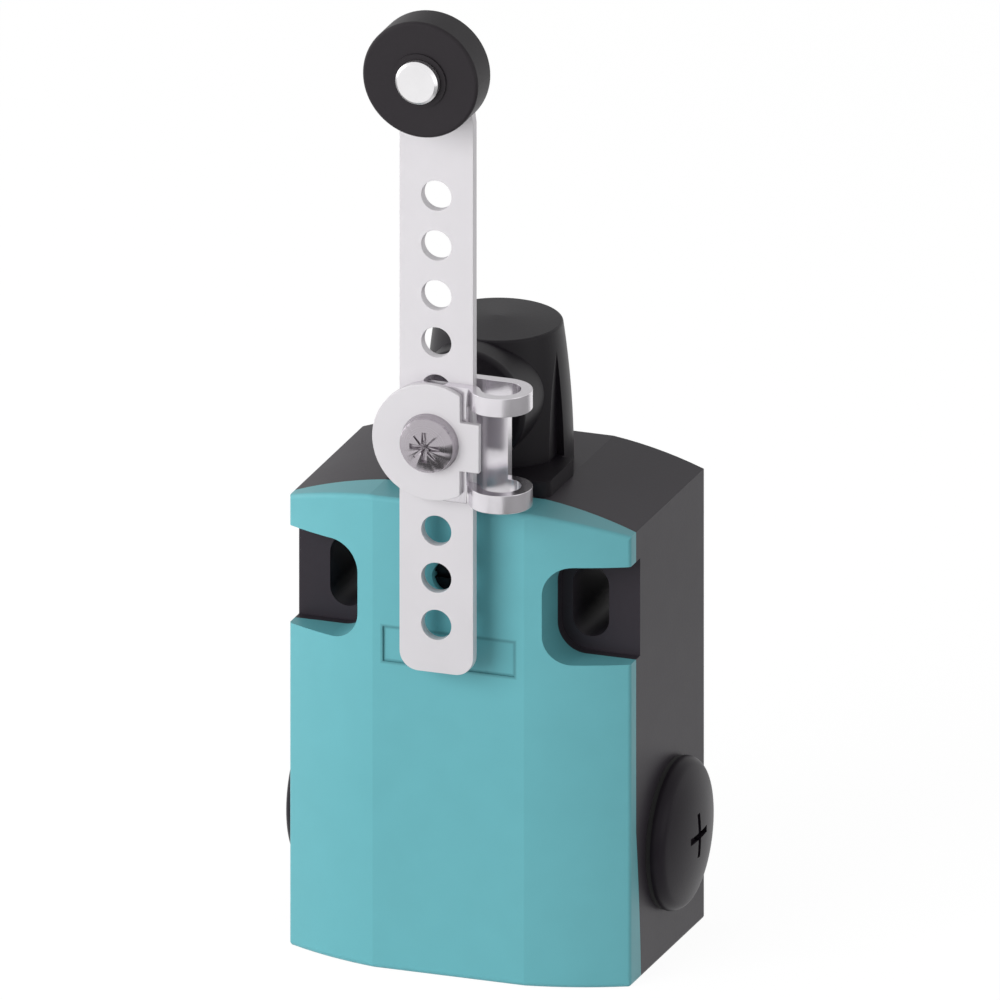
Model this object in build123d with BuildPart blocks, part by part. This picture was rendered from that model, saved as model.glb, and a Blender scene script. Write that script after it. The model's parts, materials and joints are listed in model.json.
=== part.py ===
from build123d import *
from math import acos, degrees
import os

# Position switch: a plastic enclosure with two cable entries, a rotary head on top,
# and a perforated lever with a roller, clamped to the head's shaft by a bent bracket.
# The origin lies on the mounting face, midway between the two fixing slots.
# X runs to the right, Y from the front to the mounting face, Z up. Sizes in millimetres.
# Heights are measured up from the foot, depths forward from the mounting face.

# Enclosure outline, seen from the front
body_width = 50.0
body_height = 69.2
top_flat_width = 23.5
shoulder_drop = 3.2
shoulder_rise = 0.4
top_corner_round = 1.9
foot_corner_round = 0.6
housing_wall = 2.0
back_wall = 2.0

# Seam between housing and cover, seen from the side
housing_depth = 27.3
seam_draw_back = 2.0
seam_bend_height = 22.0
seam_rise = 0.25

# Cover: how far its front and its cheeks stand before the seam, and its name field
cover_front = 6.9
cover_cheek = 2.2
cover_flat_width = 22.2
cover_rise = 0.6
cover_wall = 1.8
cover_edge_round = 0.7
name_field_width = 19.3
name_field_height = 5.1
name_field_drop = 21.45
name_field_sink = 0.3

# Fixing slots and the notches that open them to the front
slot_drop = 14.7
slot_spacing = 35.6
slot_width = 5.3
slot_length = 10.3
notch_sink = 1.65
notch_inset = 4.3
notch_height = 14.3
notch_round = 4.2

# Cover screw, the boss that takes it, and the gasket
cover_screw_sink = 2.8
cover_screw_head = 4.6
cover_screw_head_height = 1.9
cover_screw_shank = 3.0
cover_screw_length = 10.9
cover_screw_slot = 0.8
screw_boss = 7.2
screw_boss_length = 6.6
screw_boss_gap = 1.6
screw_web = 2.2
gasket_width = 1.4
gasket_thickness = 1.8
gasket_lift = 0.2

# Side cable entries and their plugs
entry_height = 17.1
entry_depth = 12.8
entry_bore = 20.2
entry_collar_wall = 2.2
plug_play = 0.2
plug_lip = 0.75
plug_wall = 1.8
plug_rim = 1.5
plug_dome = 1.9
plug_dome_fullness = 0.72
plug_seal_thickness = 0.7
plug_seal_inset = 0.15
plug_slot_length = 6.4
plug_slot_width = 1.0
plug_slot_sink = 1.0

# Contact block inside the housing
block_height = 28.5
block_depth = 20.0
block_gap = 1.05
block_side_gap = 1.0
chamber_width = 19.0
chamber_wall = 4.0
neck_width = 8.0
neck_height = 5.5
bay_width = 5.5
bay_inset = 1.0
bay_height = 6.6
blade_drop = 8.5
blade_thickness = 1.0
blade_width = 5.0
blade_gap = 1.4
rivet = 3.0
rivet_height = 0.8
rivet_inset = 1.9
terminal_head_gap = 0.45
terminal_screw_head_height = 1.6
terminal_screw_shank = 2.5
terminal_screw_shank_length = 4.0
terminal_screw_slot = 0.8
terminal_clamp_size = 5.2
terminal_clamp_thickness = 0.8

# Moving contact
contact_travel = 2.0
contact_gap = 0.3
bridge_thickness = 0.8
carrier_width = 5.0
carrier_height = 8.0
plunger = 4.0
plunger_gap = 2.3
spring_wire = 0.5
spring_wire_sides = 6
contact_spring = 5.0
contact_spring_turns = 4

# Rotary head: its axis lies behind the seam, and reaches are measured forward from that axis
head_seam_gap = 13.3
head_foot = 20.8
head_crown = 17.8
head_height = 21.0
head_bulge = 0.37
crown_rise = 0.6
head_edge_round = 0.4
head_flat_width = 18.3
head_flat_reach = 1.7
plinth_width = 24.0
plinth_height = 2.3
plinth_gap = 2.3
plinth_round = 1.6
plinth_rear_round = 0.6
boss = 17.0
boss_reach = 13.2
boss_edge_round = 0.8
boss_web = 9.0
head_bore = 11.4
spigot = 15.0
spigot_wall = 1.9
spigot_length = 5.4
spigot_floor = 1.5
fork_thickness = 1.4
fork_groove = 1.0
fork_width = 20.0
fork_tail = 2.5

# Shaft and what it carries inside the head
shaft_drop = 9.25
shaft = 8.0
shaft_journal = 5.0
shaft_rear_reach = 8.7
shaft_step_gap = 0.9
shaft_square = 6.0
seal_lip = 0.3
seal_sink = 0.4
seal_thickness = 1.2
clip_thickness = 0.8
clip_groove = 0.6
clip_gap = 0.3
cam = 10.0
cam_gap = 0.5
cam_wall = 0.6
cam_length = 6.0
tappet_head = 9.0
tappet_head_height = 1.5
tappet = 4.6
tappet_spring = 8.0
tappet_spring_turns = 5

# Lever clamp: bent bracket, washer, disc with its tab, and screw
bracket_gap = 0.55
bracket_sheet = 1.6
bracket_height = 16.9
bracket_drop = 0.2
bracket_left = 5.2
bracket_loop_x = 9.5
bracket_loop_radius = 3.6
bracket_neck_radius = 1.4
bracket_tongue = 5.0
window_height = 11.5
washer_thickness = 1.25
washer_rim = 2.0
disc_radius = 8.5
disc_sheet = 1.0
disc_flat_x = 4.4
tab_reach = 7.2
tab_height = 7.1
tab_drop = 0.15
clamp_screw_head = 8.5
clamp_screw_head_height = 2.5
clamp_screw_dome = 1.0
clamp_screw_fullness = 0.8
clamp_screw_edge = 0.35
clamp_screw_shank = 4.0
clamp_screw_length = 9.0
cross_arm = 4.4
cross_width = 0.8
cross_sink = 0.9
cross_fine_width = 0.3
cross_fine_sink = 0.6

# Lever bar, with its hole pattern counted from the shaft
bar_sheet = 1.5
bar_width = 10.8
bar_foot_round = 2.7
bar_tip_radius = 4.3
bar_hole_play = 0.2
hole_pitch = 6.9
holes_below = 4
holes_above = 3
top_hole_pitch = 7.3
top_holes = 2
bar_foot_margin = 7.0
bar_taper = 8.2
roller_margin = 19.2

# Roller and its pin
roller = 16.9
roller_thickness = 5.7
roller_edge_round = 0.5
roller_ring = 7.8
roller_ring_rise = 0.25
pin_shank = 5.0
pin_head_rim = 0.6
pin_head_height = 1.25
pin_chamfer = 0.38
pin_rivet_rim = 1.0
pin_rivet_height = 0.6
roller_washer_rim = 1.5
roller_washer_thickness = 0.7

# Clearances
thread_fit = 0.05
running_fit = 0.1
seat_fit = 0.1
free_gap = 0.3

# Heights that follow from the sizes
slot_height = body_height - slot_drop
shoulder_height = body_height - shoulder_drop
name_field_centre = body_height - name_field_drop
fork_top = body_height - housing_wall
spigot_foot = body_height - spigot_length
cover_screw_height = spigot_foot - screw_boss_gap - screw_boss / 2
plunger_top = spigot_foot - plunger_gap
block_top = slot_height - notch_height / 2 - cover_wall - block_gap
block_foot = block_top - block_height
upper_blade_height = block_top - blade_drop
bridge_height = upper_blade_height - 2 * rivet_height - contact_gap - bridge_thickness
lower_blade_height = bridge_height - 2 * rivet_height - contact_gap - contact_travel - blade_thickness
crown_height = body_height + head_height
plinth_top = body_height + plinth_height
shaft_height = crown_height - shaft_drop
tappet_top = shaft_height - cam / 2 - free_gap
bracket_middle = shaft_height - bracket_drop
bracket_foot = bracket_middle - bracket_height / 2
hole_heights = [shaft_height + hole_pitch * step for step in range(-holes_below, holes_above + 1)]
bar_foot = hole_heights[0] - bar_foot_margin
hole_heights += [hole_heights[-1] + top_hole_pitch * step for step in range(1, top_holes + 1)]
roller_height = hole_heights[-1] + roller_margin
bar_taper_height = roller_height - bar_taper

# Depths that follow from the sizes
seam_foot_depth = housing_depth - seam_draw_back
recess_floor = housing_depth - notch_sink
cover_depth = housing_depth + cover_front
head_axis_depth = housing_depth - head_seam_gap
cover_side_depth = housing_depth + cover_cheek
cover_screw_seat_depth = cover_depth - cover_screw_sink
gasket_rear_depth = housing_depth + gasket_lift - gasket_thickness
screw_boss_front_depth = gasket_rear_depth - seat_fit
shaft_rear_depth = head_axis_depth - shaft_rear_reach
shaft_step_depth = head_axis_depth - cam_length / 2 - shaft_step_gap
bush_rear_depth = head_axis_depth + head_bore / 2
boss_front_depth = head_axis_depth + boss_reach
bush_front_depth = boss_front_depth - seal_sink - seal_thickness
bracket_back_depth = cover_depth + bracket_gap
bar_back_depth = bracket_back_depth + bracket_sheet + washer_thickness
bar_front_depth = bar_back_depth + bar_sheet
tongue_front_depth = bar_front_depth + bracket_sheet
disc_front_depth = tongue_front_depth + disc_sheet
roller_back_depth = bar_front_depth + roller_washer_thickness + free_gap
roller_front_depth = roller_back_depth + roller_thickness

# Widths that follow from the sizes
half_width = body_width / 2
notch_spacing = slot_spacing - 2 * notch_inset
block_width = chamber_width + 2 * bay_width + 4 * bay_inset
entry_collar_length = half_width - housing_wall - block_width / 2 - block_side_gap
plug_shank = entry_bore - 2 * plug_play
plug_shank_length = housing_wall + entry_collar_length
plug_head = entry_bore + 2 * plug_lip
blade_tip_x = carrier_width / 2 + blade_gap
rivet_x = blade_tip_x + rivet_inset
bush_outer = cam + 2 * cam_gap


def front(depth):
    """Plane facing the front, this far before the mounting face, with heights from the foot."""
    return Plane(origin=(0, -depth, -slot_height), x_dir=(1, 0, 0), z_dir=(0, -1, 0))


def level(height):
    """Level plane at this height above the foot."""
    return Plane.XY.offset(height - slot_height)


def upright(x):
    """Plane across X, with depths from the mounting face and heights from the foot."""
    return Plane(origin=(x, 0, -slot_height), x_dir=(0, -1, 0), z_dir=(-1, 0, 0))


shaft_axis = Axis((0, 0, shaft_height - slot_height), (0, 1, 0))
entry_axis = Axis((0, -entry_depth, entry_height - slot_height), (1, 0, 0))
head_axis = Axis((0, -head_axis_depth, 0), (0, 0, 1))


def save(piece, name):
    """Label a finished piece and write it under the same name."""
    piece.label = name
    export_step(piece, f"parts/{name}.step")


def enclosure_outline(inset):
    """Front outline: flat foot, upright sides, and a flat top that falls to its shoulders."""
    half = half_width - inset
    top = body_height - inset
    shoulder = shoulder_height - inset
    flat = top_flat_width / 2
    crest = ((flat + half) / 2, (top + shoulder) / 2 + shoulder_rise)
    with BuildSketch() as outline:
        with BuildLine():
            Polyline((0, inset), (half, inset), (half, shoulder))
            ThreePointArc((half, shoulder), crest, (flat, top))
            Line((flat, top), (0, top))
            mirror(about=Plane.YZ)
        make_face()
        corners = outline.vertices().filter_by(lambda corner: abs(corner.X) > half - 0.01)
        rows = corners.group_by(Axis.Y)
        fillet(rows[0], foot_corner_round)
        fillet(rows[1], top_corner_round)
    return outline.sketch


def cover_plan(inset, rear_depth):
    """Plan of the cover: a flat middle, with the front curving back to the sides."""
    half = half_width - inset
    flat = cover_flat_width / 2
    nose = cover_depth - inset
    cheek = cover_side_depth - inset
    with BuildSketch() as plan:
        with BuildLine():
            Polyline((0, -rear_depth), (half, -rear_depth), (half, -cheek))
            bulge = ((flat + half) / 2, -(nose + cheek) / 2 - cover_rise)
            ThreePointArc((half, -cheek), bulge, (flat, -nose))
            Line((flat, -nose), (0, -nose))
            mirror(about=Plane.YZ)
        make_face()
    return plan.sketch


def notches(margin):
    """Front view of both notches at the fixing slots, wider by a margin, open to the sides."""
    inner = notch_spacing / 2 - margin
    outer = half_width + 2 * notch_round
    with BuildSketch() as openings:
        for turn in (-1, 1):
            with Locations((turn * (inner + outer) / 2, slot_height)):
                RectangleRounded(outer - inner, notch_height + 2 * margin, notch_round + margin)
    return openings.sketch


def seam_side(near_depth):
    """Side view of what lies on one side of the seam, which draws back towards the foot."""
    middle = ((housing_depth + seam_foot_depth) / 2 - seam_rise, seam_bend_height / 2)
    with BuildSketch() as region:
        with BuildLine():
            Line((near_depth, 0), (seam_foot_depth, 0))
            ThreePointArc((seam_foot_depth, 0), middle, (housing_depth, seam_bend_height))
            Polyline((housing_depth, seam_bend_height), (housing_depth, crown_height),
                     (near_depth, crown_height), (near_depth, 0))
        make_face()
    return region.sketch


os.makedirs("parts", exist_ok=True)

# Housing: a deep tray with a column round each fixing slot, a threaded collar in each side
# wall, a boss for the cover screw hung from the top wall, and a bore for the head's spigot
with BuildPart() as housing:
    with BuildSketch(front(0)):
        add(enclosure_outline(0))
    extrude(amount=housing_depth)
    with BuildSketch(front(back_wall)):
        add(enclosure_outline(housing_wall))
        add(notches(cover_wall), mode=Mode.SUBTRACT)
    extrude(amount=housing_depth, mode=Mode.SUBTRACT)
    for turn in (-1, 1):
        collar_plane = upright(turn * (half_width - housing_wall / 2))
        with BuildSketch(collar_plane):
            with Locations((entry_depth, entry_height)):
                Circle(entry_bore / 2 + entry_collar_wall)
        extrude(amount=turn * (housing_wall / 2 + entry_collar_length))
        with BuildSketch(collar_plane):
            with Locations((entry_depth, entry_height)):
                Circle(entry_bore / 2)
        extrude(amount=housing_wall / 2 + entry_collar_length, both=True, mode=Mode.SUBTRACT)
    with BuildSketch(front(screw_boss_front_depth)):
        with Locations((0, cover_screw_height)):
            Circle(screw_boss / 2)
            Rectangle(notch_spacing, screw_web)
    extrude(amount=-screw_boss_length)
    with BuildSketch(front(screw_boss_front_depth)):
        with Locations((0, cover_screw_height)):
            Circle(cover_screw_shank / 2 + thread_fit)
    extrude(amount=-screw_boss_length, mode=Mode.SUBTRACT)
    with BuildSketch(front(recess_floor)):
        add(notches(0))
    extrude(amount=housing_depth, mode=Mode.SUBTRACT)
    with BuildSketch(front(0)):
        with Locations((-slot_spacing / 2, slot_height), (slot_spacing / 2, slot_height)):
            SlotOverall(slot_length, slot_width, rotation=90)
    extrude(amount=housing_depth, mode=Mode.SUBTRACT)
    with BuildSketch(level(body_height - 2 * housing_wall)):
        with Locations((0, -head_axis_depth)):
            Circle(spigot / 2 + seat_fit)
    extrude(amount=3 * housing_wall, mode=Mode.SUBTRACT)
    with BuildSketch(upright(0)):
        add(seam_side(0))
    extrude(amount=body_width, both=True, mode=Mode.INTERSECT)
save(housing.part, "housing")

# The hollow of the cover, which leaves a wall round each notch and a tube round the screw
with BuildPart() as cover_hollow:
    with BuildSketch(level(housing_wall)):
        add(cover_plan(cover_wall, seam_foot_depth / 2))
    extrude(amount=body_height)
    with BuildSketch(front(0)):
        add(enclosure_outline(housing_wall))
        add(notches(cover_wall), mode=Mode.SUBTRACT)
        with Locations((0, cover_screw_height)):
            Circle(screw_boss / 2, mode=Mode.SUBTRACT)
    extrude(amount=cover_depth, mode=Mode.INTERSECT)

# Cover: the curved front, with rounded edges, notches, a sunk name field and the screw's well
with BuildPart() as front_cover:
    with BuildSketch(level(0)):
        add(cover_plan(0, seam_foot_depth / 2))
    extrude(amount=body_height)
    with BuildSketch(front(0)):
        add(enclosure_outline(0))
    extrude(amount=cover_depth, mode=Mode.INTERSECT)
    rim = front_cover.edges().filter_by(lambda edge: edge.bounding_box().max.Y < 0.5 - cover_side_depth)
    fillet(rim.filter_by(Axis.Z, reverse=True), cover_edge_round)
    with BuildSketch(upright(0)):
        add(seam_side(0))
    extrude(amount=body_width, both=True, mode=Mode.SUBTRACT)
    with BuildSketch(front(0)):
        add(notches(0))
    extrude(amount=cover_depth, mode=Mode.SUBTRACT)
    add(cover_hollow.part, mode=Mode.SUBTRACT)
    with BuildSketch(front(cover_depth - name_field_sink)):
        with Locations((0, name_field_centre)):
            Rectangle(name_field_width, name_field_height)
    extrude(amount=cover_wall, mode=Mode.SUBTRACT)
    with BuildSketch(front(cover_screw_seat_depth)):
        with Locations((0, cover_screw_height)):
            Circle(cover_screw_head / 2 + seat_fit)
    extrude(amount=cover_depth, mode=Mode.SUBTRACT)
    with BuildSketch(front(0)):
        with Locations((0, cover_screw_height)):
            Circle(cover_screw_shank / 2 + running_fit)
    extrude(amount=cover_depth, mode=Mode.SUBTRACT)
save(front_cover.part, "front_cover")

# Gasket: a frame that bridges the seam inside both walls
with BuildPart() as cover_gasket:
    with BuildSketch(front(gasket_rear_depth)):
        add(enclosure_outline(housing_wall))
        add(notches(cover_wall), mode=Mode.SUBTRACT)
        offset(amount=-seat_fit)
    extrude(amount=gasket_thickness)
    with BuildSketch(front(0)):
        add(enclosure_outline(housing_wall))
        add(notches(cover_wall), mode=Mode.SUBTRACT)
        offset(amount=-seat_fit - gasket_width)
    extrude(amount=cover_depth, mode=Mode.SUBTRACT)
save(cover_gasket.part, "cover_gasket")

# Cover screw: a slotted cheese head on a plain shank
with BuildPart() as cover_screw:
    with BuildSketch(front(cover_screw_seat_depth)):
        with Locations((0, cover_screw_height)):
            Circle(cover_screw_head / 2)
    extrude(amount=cover_screw_head_height)
    with BuildSketch(front(cover_screw_seat_depth)):
        with Locations((0, cover_screw_height)):
            Circle(cover_screw_shank / 2)
    extrude(amount=-cover_screw_length)
    with BuildSketch(front(cover_screw_seat_depth + cover_screw_head_height / 2)):
        with Locations((0, cover_screw_height)):
            Rectangle(2 * cover_screw_head, cover_screw_slot)
    extrude(amount=cover_screw_head_height, mode=Mode.SUBTRACT)
save(cover_screw.part, "cover_screw")

# Entry plug on the right: a hollow shank behind a domed head with a cross slot
plug_back = half_width + plug_seal_thickness
with BuildPart() as right_entry_plug:
    with BuildSketch(Plane.XZ.offset(entry_depth)):
        with BuildLine():
            axis_height = entry_height - slot_height
            shank_end = plug_back - plug_shank_length
            Polyline((shank_end, axis_height), (shank_end, axis_height + plug_shank / 2),
                     (plug_back, axis_height + plug_shank / 2),
                     (plug_back, axis_height + plug_head / 2),
                     (plug_back + plug_rim, axis_height + plug_head / 2))
            dome_top = plug_back + plug_rim + plug_dome
            shoulder = (plug_back + plug_rim + plug_dome * plug_dome_fullness, axis_height + plug_head / 4)
            ThreePointArc((plug_back + plug_rim, axis_height + plug_head / 2), shoulder,
                          (dome_top, axis_height))
            Line((dome_top, axis_height), (shank_end, axis_height))
        make_face()
    revolve(axis=entry_axis)
    with BuildSketch(upright(plug_back)):
        with Locations((entry_depth, entry_height)):
            Circle(plug_shank / 2 - plug_wall)
    extrude(amount=plug_shank_length, mode=Mode.SUBTRACT)
    with BuildSketch(upright(dome_top - plug_slot_sink)):
        with Locations((entry_depth, entry_height)):
            Rectangle(plug_slot_length, plug_slot_width)
            Rectangle(plug_slot_width, plug_slot_length)
    extrude(amount=-plug_dome, mode=Mode.SUBTRACT)
save(right_entry_plug.part, "right_entry_plug")

with BuildPart() as left_entry_plug:
    mirror(right_entry_plug.part, about=Plane.YZ)
save(left_entry_plug.part, "left_entry_plug")

# Sealing rings under the heads of the plugs
for name, turn in (("left_plug_seal", -1), ("right_plug_seal", 1)):
    with BuildPart() as plug_seal:
        with BuildSketch(upright(turn * half_width)):
            with Locations((entry_depth, entry_height)):
                Circle(plug_head / 2 - plug_seal_inset)
                Circle(plug_shank / 2 + seat_fit, mode=Mode.SUBTRACT)
        extrude(amount=-turn * plug_seal_thickness)
    save(plug_seal.part, name)

# Contact block: a moulded base with a chamber for the bridge, a bay for each terminal,
# slits for their blades, and a neck that guides the plunger
bay_x = chamber_width / 2 + bay_inset + bay_width / 2
blade_front_depth = head_axis_depth + blade_width / 2
upper_bay_centre = upper_blade_height + bay_height / 2
lower_bay_centre = lower_blade_height + blade_thickness - bay_height / 2
with BuildPart() as contact_block:
    with BuildSketch(front(back_wall)):
        with Locations((0, block_foot + block_height / 2)):
            Rectangle(block_width, block_height)
    extrude(amount=block_depth)
    with BuildSketch(level(block_top)):
        with Locations((0, -head_axis_depth)):
            Circle(neck_width / 2)
    extrude(amount=neck_height)
    with BuildSketch(front(back_wall + chamber_wall)):
        with Locations((0, block_foot + block_height / 2)):
            Rectangle(chamber_width, block_height - 2 * chamber_wall)
    extrude(amount=block_depth, mode=Mode.SUBTRACT)
    with BuildSketch(front(blade_front_depth - seat_fit)):
        with Locations(*[(turn * bay_x, centre) for turn in (-1, 1)
                         for centre in (upper_bay_centre, lower_bay_centre)]):
            Rectangle(bay_width, bay_height + 2 * seat_fit)
    extrude(amount=block_depth, mode=Mode.SUBTRACT)
    with BuildSketch(front(blade_front_depth - blade_width)):
        with Locations((0, upper_blade_height + blade_thickness / 2),
                       (0, lower_blade_height + blade_thickness / 2)):
            Rectangle(chamber_width + 2 * bay_inset + 2 * bay_width, blade_thickness + 2 * seat_fit)
    extrude(amount=block_depth, mode=Mode.SUBTRACT)
    with BuildSketch(front(blade_front_depth - terminal_screw_shank_length)):
        with Locations(*[(turn * bay_x, centre) for turn in (-1, 1)
                         for centre in (upper_bay_centre, lower_bay_centre)]):
            Circle(terminal_screw_shank / 2 + thread_fit)
    extrude(amount=block_depth, mode=Mode.SUBTRACT)
    with BuildSketch(level(block_foot + chamber_wall)):
        with Locations((0, -head_axis_depth)):
            Circle(plunger / 2 + running_fit)
    extrude(amount=block_height + neck_height, mode=Mode.SUBTRACT)
save(contact_block.part, "contact_block")

# Terminals: a blade that runs into the chamber, bent into a plate under its screw
terminal_places = (
    ("upper_left_terminal", -1, upper_blade_height, upper_bay_centre, -rivet_height),
    ("upper_right_terminal", 1, upper_blade_height, upper_bay_centre, -rivet_height),
    ("lower_left_terminal", -1, lower_blade_height, lower_bay_centre, blade_thickness),
    ("lower_right_terminal", 1, lower_blade_height, lower_bay_centre, blade_thickness),
)
blade_outer_x = bay_x + bay_width / 2 - seat_fit
blade_reach = blade_outer_x - blade_tip_x
for name, turn, blade_height, bay_centre, rivet_offset in terminal_places:
    with BuildPart() as terminal:
        with BuildSketch(level(blade_height)):
            with Locations((turn * (blade_outer_x - blade_reach / 2), -head_axis_depth)):
                Rectangle(blade_reach, blade_width - 2 * seat_fit)
        extrude(amount=blade_thickness)
        with BuildSketch(front(blade_front_depth - seat_fit)):
            with Locations((turn * bay_x, bay_centre)):
                Rectangle(bay_width - 2 * seat_fit, bay_height)
                Circle(terminal_screw_shank / 2 + running_fit, mode=Mode.SUBTRACT)
        extrude(amount=blade_thickness)
        with BuildSketch(level(blade_height + rivet_offset)):
            with Locations((turn * rivet_x, -head_axis_depth)):
                Circle(rivet / 2)
        extrude(amount=rivet_height)
    save(terminal.part, name)

plate_front_depth = blade_front_depth - seat_fit + blade_thickness
screw_places = [(turn * bay_x, centre) for turn in (-1, 1)
                for centre in (upper_bay_centre, lower_bay_centre)]

with BuildPart() as terminal_clamps:
    with BuildSketch(front(plate_front_depth)):
        with Locations(*screw_places):
            Rectangle(bay_width - 2 * terminal_head_gap, terminal_clamp_size)
            Circle(terminal_screw_shank / 2 + running_fit, mode=Mode.SUBTRACT)
    extrude(amount=terminal_clamp_thickness)
save(terminal_clamps.part, "terminal_clamps")

with BuildPart() as terminal_screws:
    head_back = plate_front_depth + terminal_clamp_thickness
    with BuildSketch(front(head_back)):
        with Locations(*screw_places):
            Circle(bay_width / 2 - terminal_head_gap)
    extrude(amount=terminal_screw_head_height)
    with BuildSketch(front(blade_front_depth - terminal_screw_shank_length + seat_fit)):
        with Locations(*screw_places):
            Circle(terminal_screw_shank / 2)
    extrude(until=Until.NEXT)
    with BuildSketch(front(head_back + terminal_screw_head_height / 2)):
        with Locations(*screw_places):
            Rectangle(bay_width, terminal_screw_slot)
    extrude(amount=terminal_screw_head_height, mode=Mode.SUBTRACT)
save(terminal_screws.part, "terminal_screws")

# Plunger: a stem through the block's neck, with a carrier that holds the bridge
with BuildPart() as contact_plunger:
    with BuildSketch(level(bridge_height - carrier_height / 2)):
        with Locations((0, -head_axis_depth)):
            Rectangle(carrier_width, blade_width + 1)
    extrude(amount=carrier_height)
    with BuildSketch(level(bridge_height)):
        with Locations((0, -head_axis_depth)):
            Circle(plunger / 2)
    extrude(amount=plunger_top - bridge_height)
    with BuildSketch(upright(0)):
        with Locations((head_axis_depth, bridge_height + bridge_thickness / 2)):
            Rectangle(blade_width + seat_fit, bridge_thickness + seat_fit)
    extrude(amount=carrier_width, both=True, mode=Mode.SUBTRACT)
save(contact_plunger.part, "contact_plunger")

# Bridge: a strip with a contact rivet above and below at each end
with BuildPart() as contact_bridge:
    with BuildSketch(level(bridge_height)):
        with Locations((0, -head_axis_depth)):
            SlotCenterToCenter(2 * rivet_x, blade_width - 1)
    extrude(amount=bridge_thickness)
    with BuildSketch(level(bridge_height - rivet_height)):
        with Locations((-rivet_x, -head_axis_depth), (rivet_x, -head_axis_depth)):
            Circle(rivet / 2)
    extrude(amount=2 * rivet_height + bridge_thickness)
save(contact_bridge.part, "contact_bridge")


def coil_spring(foot, length, mean_width, turns):
    """Compression spring on the head's axis: one wire wound round it."""
    pitch = (length - spring_wire) / turns
    with BuildPart() as spring:
        with BuildLine(level(foot + spring_wire / 2)) as winding:
            Helix(pitch, pitch * turns, mean_width / 2, center=(0, -head_axis_depth, 0))
        with BuildSketch(Plane(origin=winding.line @ 0, z_dir=winding.line % 0)):
            RegularPolygon(spring_wire / 2, spring_wire_sides)
        sweep(is_frenet=True)
    return spring.part


contact_spring_foot = block_foot + chamber_wall
contact_spring_length = bridge_height - carrier_height / 2 - contact_spring_foot
save(coil_spring(contact_spring_foot, contact_spring_length, contact_spring - spring_wire,
                 contact_spring_turns), "contact_spring")

# Head: a tapered round body with a slight crown, cut flat on both sides before its axis, with a
# plinth at its foot, a round boss that carries the shaft to the front, a hollow for the cam,
# and a spigot that goes down into the housing
with BuildPart() as head_housing:
    with BuildSketch(front(head_axis_depth)) as head_half:
        with BuildLine():
            edge_height = crown_height - crown_rise
            flank = ((head_foot + head_crown) / 4 + head_bulge, (body_height + edge_height) / 2)
            Polyline((0, crown_height), (0, body_height), (head_foot / 2, body_height))
            ThreePointArc((head_foot / 2, body_height), flank, (head_crown / 2, edge_height))
            Line((head_crown / 2, edge_height), (0, crown_height))
        make_face()
        fillet(head_half.vertices().group_by(Axis.X)[1], head_edge_round)
    revolve(axis=head_axis)
    with BuildSketch(front(head_axis_depth + head_flat_reach)):
        with Locations((0, plinth_top)):
            for turn in (-1, 1):
                with Locations((turn * (head_flat_width + head_foot) / 2, head_height / 2)):
                    Rectangle(head_foot, head_height)
    extrude(amount=head_foot, mode=Mode.SUBTRACT)
    with BuildSketch(level(body_height)) as plinth_plan:
        with Locations((0, -head_axis_depth - (plinth_gap + boss_reach) / 2)):
            Rectangle(plinth_width, boss_reach - plinth_gap)
        fillet(plinth_plan.vertices().group_by(Axis.Y)[0], plinth_round)
        fillet(plinth_plan.vertices().group_by(Axis.Y)[-1], plinth_rear_round)
    extrude(amount=plinth_height)
    with BuildSketch(front(head_axis_depth)):
        with Locations((0, shaft_height)):
            Circle(boss / 2)
        with Locations((0, (plinth_top + shaft_height) / 2)):
            Rectangle(boss_web, shaft_height - plinth_top)
    extrude(amount=boss_reach)
    boss_face = head_housing.faces().filter_by(Axis.Y).sort_by(Axis.Y)[0]
    fillet(boss_face.edges().filter_by(GeomType.CIRCLE).sort_by(Axis.Z)[-1], boss_edge_round)
    with BuildSketch(level(spigot_foot)):
        with Locations((0, -head_axis_depth)):
            Circle(spigot / 2)
    extrude(amount=spigot_length)
    with BuildSketch(level(spigot_foot + spigot_floor)):
        with Locations((0, -head_axis_depth)):
            Circle(spigot / 2 - spigot_wall)
    extrude(amount=spigot_length, mode=Mode.SUBTRACT)
    with BuildSketch(level(body_height)):
        with Locations((0, -head_axis_depth)):
            Circle(head_bore / 2)
    extrude(amount=shaft_height - body_height, mode=Mode.SUBTRACT)
    with BuildSketch(level(spigot_foot)):
        with Locations((0, -head_axis_depth)):
            Circle(tappet / 2 + running_fit)
    extrude(amount=spigot_length, mode=Mode.SUBTRACT)
    with BuildSketch(level(fork_top - fork_thickness - seat_fit)):
        with Locations((0, -head_axis_depth)):
            Circle(spigot / 2 + 1)
            Circle(spigot / 2 - fork_groove, mode=Mode.SUBTRACT)
    extrude(amount=fork_thickness + seat_fit, mode=Mode.SUBTRACT)
    with BuildSketch(front(shaft_rear_depth - running_fit)):
        with Locations((0, shaft_height)):
            Circle(shaft_journal / 2 + running_fit)
    extrude(amount=head_axis_depth, mode=Mode.SUBTRACT)
    with BuildSketch(front(shaft_step_depth - free_gap)):
        with Locations((0, shaft_height)):
            Circle(bush_outer / 2)
    extrude(amount=boss_front_depth, mode=Mode.SUBTRACT)
    with BuildSketch(front(bush_front_depth)):
        with Locations((0, shaft_height)):
            Circle(bush_outer / 2 + seal_lip)
    extrude(amount=boss_front_depth, mode=Mode.SUBTRACT)
save(head_housing.part, "head_housing")

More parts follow.
